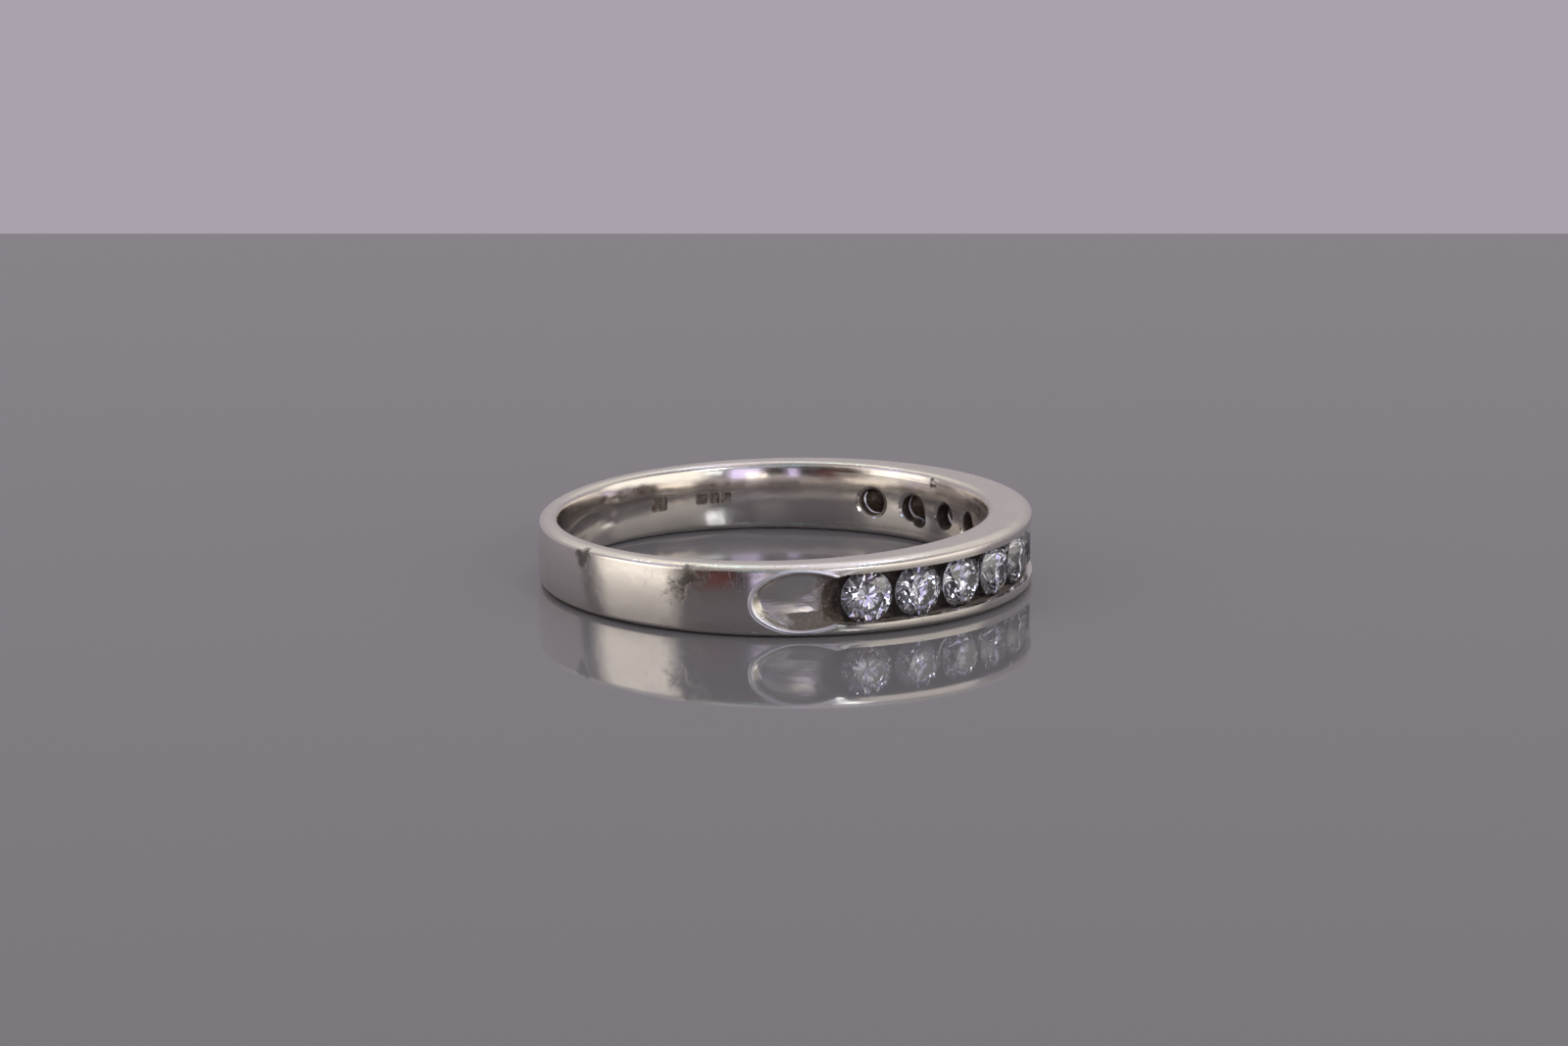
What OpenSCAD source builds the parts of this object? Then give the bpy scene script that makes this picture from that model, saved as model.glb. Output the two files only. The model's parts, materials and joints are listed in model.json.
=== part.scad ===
// Channel set band ring, lying on its side.
// One soldered band carries a row of round brilliants in a channel cut round its head.
// The band is modelled about its own axis, head towards +X, and then laid on its lower side.

/* [Finger hole] */
// Diameter of the finger hole
bore_d = 17.3; // [16.9:0.1:17.6]
// How far the finger hole lies behind the middle of the outside circle, away from the head
bore_shift = 0.53; // [0.45:0.01:0.58]
// Rounding of the two edges of the finger hole
bore_round = 0.44; // [0.36:0.02:0.5]

/* [Band] */
// Outside diameter
outer_d = 20.24; // [20.1:0.02:20.5]
// Width at the back of the shank
back_w = 2.7; // [2.6:0.05:2.9]
// Width at the middle of the head
head_w = 3.1; // [3.05:0.05:3.3]
// Drop of the domed outside face from its middle to its edges
dome_drop = 0.12; // [0.08:0.01:0.16]
// Rounding of the outside edges
edge_round = 0.17; // [0.14:0.01:0.2]

/* [Stones] */
// Number of stones
stone_count = 11; // [7:1:11]
// Diameter of a stone
stone_d = 2.14; // [2.04:0.02:2.16]
// Angle between neighbouring stones, seen from the middle of the ring
stone_pitch = 13.55; // [13.45:0.05:13.8]
// Depth of the stones' girdles under the outside face
girdle_depth = 0.52; // [0.46:0.01:0.55]
// Thickness of the girdle
girdle_t = 0.06; // [0.04:0.01:0.07]
// Width of the table as a share of the stone
table_share = 0.56; // [0.5:0.01:0.62]
// Slope of the crown's main facets
crown_angle = 34.5; // [30:0.5:36]
// Slope of the pavilion's main facets
pavilion_angle = 40.8; // [39:0.1:42]
// Length of the star facets as a share of the way from table to girdle
star_share = 0.5; // [0.4:0.01:0.6]
// Length of the lower halves as a share of the way from girdle to culet
lower_half_share = 0.77; // [0.65:0.01:0.85]

/* [Channel] */
// How far each rail's lip covers the edge of a stone
lip_cover = 0.05; // [0.04:0.005:0.07]
// Depth of the channel under the outside face
channel_depth = 1.17; // [1.12:0.01:1.2]
// Room between a stone and its groove
seat_gap = 0.03; // [0.02:0.01:0.04]
// Bevel along the lips of the rails
lip_bevel = 0.05; // [0.03:0.01:0.08]
// Diameter of the hole drilled through the band under each stone
hole_d = 1.1; // [0.9:0.05:1.2]
// How far the holes lie below the middle of the band, on its lower side
hole_drop = 0.1; // [0:0.02:0.14]
// Diameter of the countersink round each hole on the inside of the band
hole_mouth_d = 1.4; // [1.3:0.05:1.5]

/* [Pockets] */
// Length of a scooped pocket from its widest place to its tip
pocket_reach = 1.96; // [1.86:0.02:2]
// Width of a pocket at its widest place, across its bright rim
pocket_w = 2.5; // [2.4:0.02:2.56]
// Depth of a pocket along its middle
pocket_depth = 0.56; // [0.5:0.01:0.6]
// Radius of the hollow floor of a pocket, across the band
pocket_floor_r = 2.4; // [2.2:0.1:3]
// Radius of each long side of a pocket's outline
pocket_side_r = 2; // [1.95:0.05:2.15]
// Radius of the blunt tip of a pocket's outline
pocket_tip_r = 1.65; // [1.65:0.05:2]
// Slope of a pocket's walls from upright
pocket_draft = 22; // [15:1:28]
// Depth of the bright bevel round a pocket
rim_depth = 0.11; // [0.08:0.01:0.13]
// Width of the bright bevel round a pocket
rim_w = 0.17; // [0.13:0.01:0.2]

/* [Hidden] */
$fn = 96;
bore_r = bore_d / 2;
outer_r = outer_d / 2;
half_w = (back_w + head_w) / 4;
half_taper = atan((head_w - back_w) / (2 * outer_d));
dome_r = (half_w * half_w + dome_drop * dome_drop) / (2 * dome_drop);
reach = 3;               // enough to pass the band's faces with a cutter
crossing = 0.01;         // lets a rounding cross the face that it meets at a clear angle

stone_r = stone_d / 2;
girdle_r = outer_r - girdle_depth;
channel_half_w = stone_r - lip_cover;
groove_half_w = stone_r + seat_gap;
floor_r = outer_r - channel_depth;
last_stone = (stone_count - 1) / 2 * stone_pitch;

burr_r = channel_half_w - 0.02;
burr_centre_r = floor_r + burr_r + 0.03;
burr_angle = last_stone + 5.6;
pocket_turn = asin(pocket_reach / 2 / outer_r);
tip_drop = pow(pocket_reach / 2, 2) / (2 * outer_r);      // of the surface, under a flat plane
wide_drop = tip_drop + pow(pocket_w / 2, 2) / (2 * dome_r);
pocket_angle = last_stone + 16.5 + pocket_turn;

function stone_name(i) = str("stone_", i < 10 ? "0" : "", i);
function stone_place(i) = (i - 1) * stone_pitch - last_stone;
function round_point(r, a, z) = [r * cos(a), r * sin(a), z];

// Lays the band on its lower side face: turned by half the taper and lifted by half the width.
module lay_down() {
    translate([0, 0, half_w]) rotate([0, -half_taper, 0]) children();
}

// The domed body of revolution that the side faces trim; inset moves its outside face inwards.
module domed_body(inset = 0) {
    rotate_extrude() intersection() {
        translate([outer_r - inset - dome_r, 0]) circle(r = dome_r);
        translate([bore_r / 2, -reach]) square([outer_r, 2 * reach]);
    }
}

// Everything below one side face, with the outside edge of that face rounded.
module side_trim() {
    round_z = half_w - edge_round;
    round_x = outer_r - dome_r - edge_round + crossing / 2
        + sqrt(dome_r * dome_r - round_z * round_z);
    rotate_extrude() {
        translate([0, -reach]) square([round_x, reach + half_w]);
        translate([round_x, round_z]) circle(r = edge_round);
        translate([0, -reach]) square([outer_r + 1, reach + round_z + edge_round / 6]);
    }
}

// Cuts the rounded edge between the finger hole and one side face.
module bore_edge_cutter() {
    translate([half_w * sin(half_taper) - bore_shift, 0, 0]) rotate_extrude() difference() {
        translate([bore_r - 1, half_w - bore_round])
            square([bore_round + 1 - crossing, bore_round + 1]);
        translate([bore_r + bore_round - crossing, half_w - bore_round + crossing])
            circle(r = bore_round);
    }
}

// Puts a shape against the upper side face, which rises towards the head.
module on_upper_side() { rotate([0, -half_taper, 0]) children(); }

// Puts the same shape against the lower side face.
module on_lower_side() { mirror([0, 0, 1]) on_upper_side() children(); }

module blank_band() {
    difference() {
        intersection() {
            domed_body();
            on_upper_side() side_trim();
            on_lower_side() side_trim();
        }
        translate([-bore_shift, 0, -reach]) cylinder(r = bore_r, h = 2 * reach);
        on_upper_side() bore_edge_cutter();
        on_lower_side() bore_edge_cutter();
    }
}

// Cross-section of the channel, with the groove that holds the girdles under each lip.
module channel_section() {
    crown_rise = lip_cover * tan(crown_angle) + girdle_t / 2 + seat_gap;
    pavilion_fall = lip_cover * tan(pavilion_angle) + girdle_t / 2 + seat_gap;
    girdle_room = girdle_t / 2 + seat_gap / 2;
    lip_r = outer_r - dome_drop * pow(channel_half_w / half_w, 2);
    half = [
        [floor_r, channel_half_w - 0.12],
        [floor_r + 0.12, channel_half_w],
        [girdle_r - pavilion_fall, channel_half_w],
        [girdle_r - girdle_room, groove_half_w],
        [girdle_r + girdle_room, groove_half_w],
        [girdle_r + crown_rise, channel_half_w],
        [lip_r - lip_bevel, channel_half_w],
        [lip_r + 2 * lip_bevel, channel_half_w + 3 * lip_bevel],
        [outer_r + 1, channel_half_w + 3 * lip_bevel]
    ];
    count = len(half);
    polygon(concat(half, [for (i = [count - 1:-1:0]) [half[i][0], -half[i][1]]]));
}

module channel_cutter() {
    rotate([0, 0, -burr_angle]) rotate_extrude(angle = 2 * burr_angle) channel_section();
    for (side = [-1, 1])
        rotate([0, 0, side * burr_angle]) translate([burr_centre_r, 0, 0]) sphere(r = burr_r);
}

// A cone about the X axis; its radius is r at the outside face and grows outwards.
module flared_cone(r, y, z, draft) {
    down = 0.9;
    up = 0.5;
    translate([outer_r - down, y, z]) rotate([0, 90, 0])
        cylinder(r1 = r - down * tan(draft), r2 = r + up * tan(draft), h = down + up);
}

// The bullet shaped outline of a pocket, with its middle at y = 0: two long sides, whose
// widest place is towards -Y, and a blunt tip towards +Y. It shrinks all round by inset.
module bullet(inset, draft) {
    side_r = pocket_side_r - inset + wide_drop * tan(draft);
    tip_r = pocket_tip_r - inset + tip_drop * tan(draft);
    side_z = pocket_w / 2 - pocket_side_r;
    intersection() {
        flared_cone(side_r, -pocket_reach / 2, side_z, draft);
        flared_cone(side_r, -pocket_reach / 2, -side_z, draft);
        flared_cone(tip_r, pocket_reach / 2 - pocket_tip_r, 0, draft);
    }
}

// The hollow floor runs round the ring, so the pocket is as deep at its tip as in its middle.
module above_pocket_floor() {
    rotate_extrude() translate([outer_r - pocket_depth + pocket_floor_r, 0])
        circle(r = pocket_floor_r);
}

// One scooped pocket at the end of the channel, with its tip at the far side from the stones.
module pocket_cutter() {
    intersection() {
        union() {
            bullet(rim_w, pocket_draft);
            translate([outer_r - 1, -1.5 * pocket_reach, -channel_half_w])
                cube([1.5, pocket_reach, 2 * channel_half_w]);
        }
        above_pocket_floor();
    }
    difference() {
        bullet(0, atan(rim_w / rim_depth));
        domed_body(rim_depth);
    }
}

// The hole under one stone, with its countersink on the inside of the band.
module stone_hole(a) {
    inner_r = sqrt(bore_r * bore_r - pow(bore_shift * sin(a), 2)) - bore_shift * cos(a);
    sink = (hole_mouth_d - hole_d) / 2;
    rotate([0, 0, a]) translate([0, 0, -hole_drop]) rotate([0, 90, 0]) {
        translate([0, 0, inner_r - 1]) cylinder(d = hole_d, h = floor_r - inner_r + 1.1);
        translate([0, 0, inner_r - sink])
            cylinder(d1 = hole_mouth_d + 2 * sink, d2 = hole_d - 0.02, h = 2 * sink + 0.01);
    }
}

module band() {
    color("#b9b3b4") lay_down() difference() {
        blank_band();
        channel_cutter();
        rotate([0, 0, pocket_angle]) pocket_cutter();
        mirror([0, 1, 0]) rotate([0, 0, pocket_angle]) pocket_cutter();
        for (i = [1:stone_count]) stone_hole(stone_place(i));
    }
}

// Height of a facet plane above the girdle: it meets the girdle's edge in direction a.
function facet_z(r, turn, slope) = (stone_r - r * cos(turn)) * tan(slope);

// A round brilliant about the Z axis, table up, with the middle of its girdle at the origin.
// Rings of points: table, star, girdle top, girdle bottom, lower halves, culet.
module brilliant() {
    step = 22.5;
    table_r = table_share * stone_r;
    star_r = table_r * cos(step) + star_share * (stone_r - table_r * cos(step));
    lower_r = (1 - lower_half_share) * stone_r;
    top = girdle_t / 2;
    scallop = stone_r * (1 - cos(step / 2)) * facet_z(star_r, step, crown_angle)
        / (stone_r * cos(step / 2) - star_r * cos(step / 2));
    dip = [0, min(scallop, top * 0.8)];
    table = [for (i = [0:7]) round_point(table_r, 2 * step * i,
        top + facet_z(table_r, 0, crown_angle))];
    star = [for (i = [0:7]) round_point(star_r, 2 * step * i + step,
        top + facet_z(star_r, step, crown_angle))];
    girdle_top = [for (i = [0:31]) round_point(stone_r, step / 2 * i, top - dip[i % 2])];
    girdle_low = [for (i = [0:31]) round_point(stone_r, step / 2 * i, dip[i % 2] - top)];
    lower = [for (i = [0:7]) round_point(lower_r, 2 * step * i + step,
        -top - facet_z(lower_r, step, pavilion_angle))];
    culet = [[0, 0, -top - facet_z(0, 0, pavilion_angle)]];
    s0 = 8;
    t0 = s0 + 8;
    b0 = t0 + 32;
    l0 = b0 + 32;
    c0 = l0 + 8;
    faces = concat(
        [[for (i = [7:-1:0]) i]],
        [for (i = [0:7]) [i, (i + 1) % 8, s0 + i]],
        [for (i = [0:7]) [i, s0 + i, t0 + 4 * i, s0 + (i + 7) % 8]],
        [for (i = [0:7]) [s0 + i, t0 + 4 * i + 2, t0 + 4 * i + 1, t0 + 4 * i]],
        [for (i = [0:7]) [s0 + i, t0 + (4 * i + 4) % 32, t0 + 4 * i + 3, t0 + 4 * i + 2]],
        [for (i = [0:31]) [t0 + i, t0 + (i + 1) % 32, b0 + (i + 1) % 32, b0 + i]],
        [for (i = [0:7]) [l0 + i, b0 + 4 * i, b0 + 4 * i + 1, b0 + 4 * i + 2]],
        [for (i = [0:7]) [l0 + i, b0 + 4 * i + 2, b0 + 4 * i + 3, b0 + (4 * i + 4) % 32]],
        [for (i = [0:7]) [c0, l0 + (i + 7) % 8, b0 + 4 * i, l0 + i]]
    );
    polyhedron(concat(table, star, girdle_top, girdle_low, lower, culet), faces);
}

module stone(i) {
    color("#dfe3f2") lay_down() rotate([0, 0, stone_place(i)]) translate([girdle_r, 0, 0])
        rotate([0, 90, 0]) brilliant();
}

band();
for (i = [1:stone_count]) stone(i);
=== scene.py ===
import json
from functools import partial
from math import asin, atan, atan2, cos, degrees, pi, radians, sin, sqrt, tan
from random import Random

import bmesh
import bpy
from mathutils import Euler, Matrix, Vector


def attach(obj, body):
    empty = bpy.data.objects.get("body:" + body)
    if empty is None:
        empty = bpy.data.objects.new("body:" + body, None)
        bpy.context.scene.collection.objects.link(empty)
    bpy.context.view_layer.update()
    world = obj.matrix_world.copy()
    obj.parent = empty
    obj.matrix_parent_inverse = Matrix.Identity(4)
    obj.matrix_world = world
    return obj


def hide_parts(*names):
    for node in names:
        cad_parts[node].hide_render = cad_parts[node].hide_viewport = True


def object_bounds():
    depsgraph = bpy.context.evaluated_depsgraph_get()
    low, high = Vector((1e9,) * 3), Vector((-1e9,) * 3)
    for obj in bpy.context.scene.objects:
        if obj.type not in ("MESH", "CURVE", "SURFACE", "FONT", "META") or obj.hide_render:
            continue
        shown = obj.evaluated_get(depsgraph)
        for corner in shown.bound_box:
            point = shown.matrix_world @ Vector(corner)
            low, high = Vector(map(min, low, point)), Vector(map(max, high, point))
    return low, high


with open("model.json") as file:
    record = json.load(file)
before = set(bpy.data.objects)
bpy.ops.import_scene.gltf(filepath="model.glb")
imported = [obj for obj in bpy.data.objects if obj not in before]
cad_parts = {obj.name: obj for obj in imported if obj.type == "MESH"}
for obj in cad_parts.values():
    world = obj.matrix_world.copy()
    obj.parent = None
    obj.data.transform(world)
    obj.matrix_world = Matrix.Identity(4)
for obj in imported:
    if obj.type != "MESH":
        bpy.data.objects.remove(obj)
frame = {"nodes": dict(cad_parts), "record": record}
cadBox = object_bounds()
scene = bpy.context.scene
nodes = frame["nodes"]
mounts = {m["name"]: m["dims"] for m in frame["record"]["mounts"]}
print("frame loaded:", len(nodes), "nodes")

# Lengths are in millimetres until a piece is finished, then it is scaled once to metres
mm = 0.001


# Small helpers for building node trees

def addNode(tree, kind, inputs=None, **settings):
    node = tree.nodes.new(kind)
    for name, value in settings.items():
        setattr(node, name, value)
    for key, value in (inputs or {}).items():
        if isinstance(value, bpy.types.NodeSocket):
            tree.links.new(value, node.inputs[key])
        else:
            node.inputs[key].default_value = value
    return node


def geo(tree, kind, inputs=None, output=0, **settings):
    return addNode(tree, "GeometryNode" + kind, inputs, **settings).outputs[output]


def shade(tree, kind, inputs=None, output=0, **settings):
    return addNode(tree, "ShaderNode" + kind, inputs, **settings).outputs[output]


def calc(operation, *values, clamp=False):
    # The math node goes into the tree that its first linked value belongs to
    tree = next(value.id_data for value in values if isinstance(value, bpy.types.NodeSocket))
    return shade(tree, "Math", dict(enumerate(values)), operation=operation, use_clamp=clamp)


plus, minus, over = partial(calc, "ADD"), partial(calc, "SUBTRACT"), partial(calc, "DIVIDE")
larger, absolute = partial(calc, "MAXIMUM"), partial(calc, "ABSOLUTE")


def times(a, b, *more):
    product = calc("MULTIPLY", a, b)
    return times(product, *more) if more else product


def lengthOf(a, b):
    return calc("SQRT", plus(times(a, a), times(b, b)))


def ramp(value, low, high):
    return shade(value.id_data, "MapRange", {"Value": value, "From Min": low, "From Max": high},
                 interpolation_type="SMOOTHSTEP")


def mixValue(share, low, high):
    return shade(share.id_data, "Mix", {0: share, 2: low, 3: high}, data_type="FLOAT")


def mixColour(share, low, high):
    return shade(share.id_data, "Mix", {0: share, 6: low, 7: high}, 2, data_type="RGBA")


def split(vector):
    return addNode(vector.id_data, "ShaderNodeSeparateXYZ", {0: vector}).outputs


def join(tree, x, y, z):
    return shade(tree, "CombineXYZ", {0: x, 1: y, 2: z})


def polar(radius, angle, z):
    # The place at a radius and an angle round the ring's axis
    return join(angle.id_data, times(radius, calc("COSINE", angle)), times(radius, calc("SINE", angle)), z)


def stretched(place, by):
    return shade(place.id_data, "VectorMath", {0: place, 1: by}, operation="MULTIPLY")


def noise(place, scale, detail, roughness=0.5, output=0):
    return shade(place.id_data, "TexNoise", {
        "Vector": place, "Scale": scale, "Detail": detail, "Roughness": roughness}, output)


def newTree(name, inputs, outputs, kind="ShaderNodeTree"):
    # An input's kind follows from its value, and None stands for an object to be named later
    kinds = {int: "Int", float: "Float", tuple: "Vector", type(None): "Object"}
    tree = bpy.data.node_groups.new(name, kind)
    for label, value in inputs.items():
        socket = tree.interface.new_socket(
            label, in_out="INPUT", socket_type="NodeSocket" + kinds[type(value)])
        if value is not None:
            socket.default_value = value
    for label, result in outputs.items():
        tree.interface.new_socket(label, in_out="OUTPUT", socket_type="NodeSocket" + result)
    return tree, tree.nodes.new("NodeGroupInput").outputs, tree.nodes.new("NodeGroupOutput").inputs


def addObject(name, data):
    added = bpy.data.objects.new(name, data)
    scene.collection.objects.link(added)
    return added


def meshObject(name, points, faces):
    mesh = bpy.data.meshes.new(name)
    mesh.from_pydata([Vector(p) for p in points], [], faces)
    shell = bmesh.new()
    shell.from_mesh(mesh)
    bmesh.ops.recalc_face_normals(shell, faces=shell.faces)
    shell.to_mesh(mesh)
    shell.free()
    return addObject(name, mesh)


def profileObject(name, points):
    count = len(points)
    mesh = bpy.data.meshes.new(name)
    mesh.from_pydata([(x, y, 0) for x, y in points], [(i, (i + 1) % count) for i in range(count)], [])
    return addObject(name, mesh)


def runTree(name, tree, values):
    # Runs a geometry tree on an empty mesh and returns the result as a plain mesh object
    seed = addObject(name + "Seed", bpy.data.meshes.new(name + "Seed"))
    modifier = seed.modifiers.new("build", "NODES")
    modifier.node_group = tree
    sockets = {item.name: item.identifier for item in tree.interface.items_tree if item.in_out == "INPUT"}
    for key, value in values.items():
        modifier[sockets[key]] = value
    evaluated = seed.evaluated_get(bpy.context.evaluated_depsgraph_get())
    mesh = bpy.data.meshes.new_from_object(evaluated)
    seed.modifiers.remove(modifier)
    bpy.data.objects.remove(seed)
    mesh.name = name
    # an unused empty slot comes before the tree's material
    if mesh.materials[0] is None:
        mesh.materials.pop(index=0)
    return addObject(name, mesh)


def arcPoints(cx, cy, radius, start, end, count):
    return [(cx + radius * cos(radians(start + (end - start) * i / count)),
             cy + radius * sin(radians(start + (end - start) * i / count))) for i in range(count + 1)]


def ringFaces(rings, count):
    # Quads between closed rings of points that follow one another
    sides = [(i, (i + 1) % count, count + (i + 1) % count, count + i) for i in range(count)]
    return [tuple(k * count + i for i in side) for k in range(rings - 1) for side in sides]


def fanFaces(start, count, tip):
    return [(start + i, start + (i + 1) % count, tip) for i in range(count)]


def turnedPoint(out, aside, angle):
    # A point so far outwards and sideways, turned round the ring's axis
    return out * cos(angle) - aside * sin(angle), out * sin(angle) + aside * cos(angle)


# The camera, at the photo's angle to the ring

view = {"azimuth": 3.0, "elevation": 13.15, "distance": 250.0, "focal": 140.625, "right": -0.08, "up": 2.26}

turn, lift = radians(view["azimuth"]), radians(view["elevation"])
backward = Vector((sin(turn) * cos(lift), -cos(turn) * cos(lift), sin(lift)))
rightward = Vector((cos(turn), sin(turn), 0))
upward = backward.cross(rightward)
camera = addObject("camera", bpy.data.cameras.new("camera"))
camera.data.sensor_width = 36
camera.data.lens = view["focal"]
camera.data.clip_start = 0.001
cameraPlace = Matrix((rightward, upward, backward)).transposed().to_4x4()
cameraPlace.translation = mm * (
    view["distance"] * backward + view["right"] * rightward + view["up"] * upward)
camera.matrix_world = cameraPlace
scene.camera = camera
print("camera placed")


# The band: a domed, tapered ring whose finger hole lies off the middle

band = {
    "outerDiameter": 20.24, "boreShift": 0.53, "backWidth": 2.7, "headWidth": 3.1, "domeDrop": 0.12,
    "edgeRound": 0.17, "edgeSoft": 0.5, "edgeTurn": 50, "boreEdge": 0.27, "comfortRadius": 6.5,
    "wallDrawn": 1.46, "lipDrop": 0.035, "lipReach": 1.32, "lipStart": 5, "lipFull": 6,
    "stepsRound": 708, "unevenness": 0.006, "wearSize": 0.45, "sharpAngle": 24,
}
stones = {"count": 11, "diameter": 2.14, "pitch": 13.55, "girdleDepth": 0.52, "crownSlope": 34.5,
          "pavilionSlope": 40.8, "girdle": 0.06}
channel = {"cover": 0.05, "depth": 1.17, "seatGap": 0.03, "lipRound": 0.06, "cornerCut": 0.12, "clear": 0.6,
           "flare": 0.05, "endAngle": 5.6, "ballTrim": 0.02, "ballLift": 0.03, "steps": 300}
holes = {"diameter": 1.1, "mouth": 1.4, "drop": 0.1, "sides": 48, "drillLength": 2.4, "drillDepth": 1.1,
         "drillJitter": 0.03, "sinkDepth": 0.6, "sinkJitter": 0.05}
secondHole = {"angle": 51.4, "across": -0.42, "radius": 0.44, "sides": 24, "above": 0.05, "below": 1.6}
pocket = {
    "angle": 16.5, "reach": 1.98, "width": 2.6, "depth": 0.5, "floorRadius": 3.0, "tipRadius": 0.95,
    "innerRadius": 4.6, "throat": 0.01, "brightRun": 0.7, "steps": 40, "straightSteps": 12,
    "rimShares": (0.4, 0.55, 0.65, 1), "grooveWidth": 0.025, "grooveDepth": 0.025, "crest": 0.08,
    "crestDepth": 0.002, "rimWidth": 0.19, "rimDepth": 0.075, "above": 0.9, "wallSlope": 0.4, "fillet": 0.12,
    "wallRows": (0.02, 0.05, 0.09, 0.13, 0.18, 0.24, 0.3, 0.36), "floorRows": (0.85, 0.68, 0.5, 0.33, 0.16),
    "paintedHighlightAcross": -0.31,
}

# Blank cartouches inside the band, by angle from the head, width and height
stamps = {"sunk": 0.045, "corner": 0.1, "across": 0.02,
          "marks": [(126.5, 0.78, 0.6), (113.4, 0.5, 0.46), (109.6, 0.42, 0.46), (106.3, 0.42, 0.46)]}
# Nicks of use: angle from the head, across, how far the middle is above the metal, size along, across, deep
nicks = {
    "nearEdge": (-102.2, 1.44, 0.02, 0.5, 0.1, 0.06), "nearEdgeSmall": (-104.6, 1.43, 0.03, 0.2, 0.06, 0.06),
    "railCut": (-31.8, 1.3, 0.02, 0.035, 0.5, 0.06), "railCutSecond": (-30.4, 1.24, 0.022, 0.03, 0.4, 0.06),
    "railEdge": (-54.6, 1.46, 0.03, 0.3, 0.09, 0.07), "railEdgeSmall": (-57.5, 1.45, 0.04, 0.16, 0.06, 0.06),
    "lowRail": (-54.5, -1.1, 0.02, 0.16, 0.12, 0.06), "backEdge": (-140.0, 1.42, 0.03, 0.24, 0.07, 0.06),
}
pit = {"angle": 43.6, "across": 1.2, "rise": 0.1, "riseSpread": 0.04, "radius": 0.2, "count": 6,
       "spread": 0.13}

outerR = band["outerDiameter"] / 2
boreR = mounts["finger_hole"]["r_mm"]
halfWidth = (band["backWidth"] + band["headWidth"]) / 4
lean = atan((band["headWidth"] - band["backWidth"]) / (2 * band["outerDiameter"]))
domeR = (halfWidth ** 2 + band["domeDrop"] ** 2) / (2 * band["domeDrop"])
stoneR, girdleHalf = stones["diameter"] / 2, stones["girdle"] / 2
girdleR = outerR - stones["girdleDepth"]
channelHalf = stoneR - channel["cover"]
floorR = outerR - channel["depth"]
lastStone = (stones["count"] - 1) / 2 * stones["pitch"]


def bandProfile():
    # x runs outwards over a drawn wall that the tree bends to the real one, y across the band
    wall, edge, soft, comfort = band["wallDrawn"], band["edgeRound"], band["boreEdge"], band["comfortRadius"]
    faceSteps, boreSteps, edgeSteps = 44, 30, 10
    # the finger side is a shallow arc that ends in a tighter round at each edge
    tip = degrees(asin((halfWidth - soft) / (comfort - soft)))
    reach = comfort * sin(radians(tip))
    depth = comfort - comfort * cos(radians(tip))
    bore = arcPoints(comfort, 0, comfort, 180 + tip, 180 - tip, boreSteps)
    inner = arcPoints(depth + soft * cos(radians(tip)), reach - soft * sin(radians(tip)), soft,
                      180 - tip, 90, edgeSteps)
    # the outer edge is worn to a wide arc on the flat side and a tighter one at the outside
    worn, turned = band["edgeSoft"], radians(band["edgeTurn"])
    drop = worn * (1 - sin(turned)) + edge * sin(turned)
    run = worn * cos(turned) + edge * (1 - cos(turned))
    outer = arcPoints(wall - run, halfWidth - worn, worn, 90, band["edgeTurn"], edgeSteps)
    outer += arcPoints(wall - edge, halfWidth - drop, edge, band["edgeTurn"], 0, edgeSteps - 2)[1:]
    face = [(wall, (halfWidth - drop) * (1 - 2 * i / faceSteps)) for i in range(1, faceSteps)]
    top = inner[1:] + outer
    return bore + top + face + [(x, -y) for x, y in reversed(top)]


def channelProfile():
    # Half of the channel's section, from its floor past the stones' groove to the rounded lip
    cover, gap = channel["cover"], channel["seatGap"]
    crownRise = cover * tan(radians(stones["crownSlope"])) + girdleHalf + gap
    pavilionFall = cover * tan(radians(stones["pavilionSlope"])) + girdleHalf + gap
    girdleRoom = girdleHalf + gap / 2
    soft, cut, groove = channel["lipRound"], channel["cornerCut"], stoneR + gap
    lipR = outerR - channelHalf ** 2 / (2 * domeR) - soft
    side = [(floorR, channelHalf - cut), (floorR + cut, channelHalf), (girdleR - pavilionFall, channelHalf),
            (girdleR - girdleRoom, groove), (girdleR + girdleRoom, groove),
            (girdleR + crownRise, channelHalf)]
    side += [(lipR + soft * sin(radians(a)), channelHalf + soft - soft * cos(radians(a)))
             for a in (0, 15, 30, 45, 60, 75, 87)]
    side += [(outerR + channel["clear"], channelHalf + soft + channel["flare"])]
    return [(x - outerR, y) for x, y in side] + [(x - outerR, -y) for x, y in reversed(side)]


def onBand(angle, along, across, depth):
    # A place given by the angle from the head, the way along the outside, the way across and the depth
    a = radians(angle) + along / outerR
    r = outerR - across ** 2 / (2 * domeR) - depth
    return (r * cos(a), r * sin(a), across)


# A pocket's outline: side arcs that the tip's smaller arc touches from inside
pocketAngle = lastStone + pocket["angle"]
half, tipR, tipX = pocket["width"] / 2, pocket["tipRadius"], pocket["reach"] - pocket["tipRadius"]
innerR = pocket["innerRadius"]
sideR = (tipX ** 2 + half ** 2 - tipR ** 2) / (2 * (half - tipR))
touch = atan2(tipX, sideR - half)


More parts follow.
